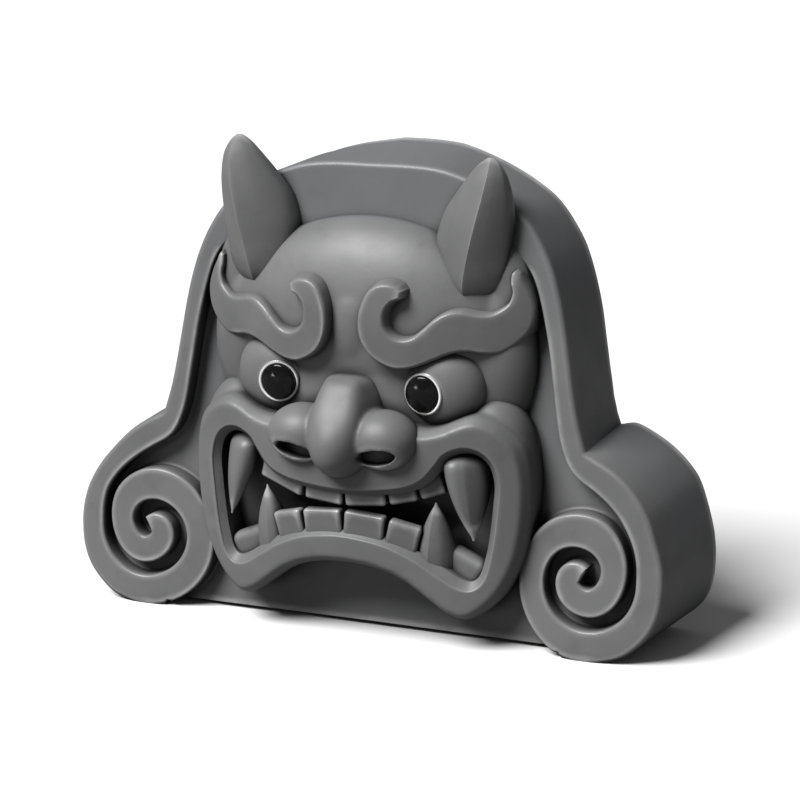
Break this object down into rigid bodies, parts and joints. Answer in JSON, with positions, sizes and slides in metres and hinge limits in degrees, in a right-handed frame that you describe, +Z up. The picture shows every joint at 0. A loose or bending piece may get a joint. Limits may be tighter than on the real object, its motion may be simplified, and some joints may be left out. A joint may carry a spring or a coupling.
{
  "type": "onigawara roof tile",
  "caption": "Dark smoked-clay ridge-end roof tile with a horned ogre face in relief, an arched rim that runs into spiral scrolls, and a pocket in the flat back.",
  "frame": {"origin": "on the ground, in the middle of the tile's bounding box", "axes": "+X to the viewer's right of the face, +Y from the face through to the flat back, +Z up"},
  "size_m": [0.4158, 0.118, 0.3067],
  "materials": {
    "smoked_clay": "satin, kiln-smoked dark grey",
    "black_glaze": "gloss"
  },
  "bodies": {
    "root": {"ogre_tile": "smoked_clay", "pupil_left": "black_glaze", "pupil_right": "black_glaze"}
  },
  "joints": []
}
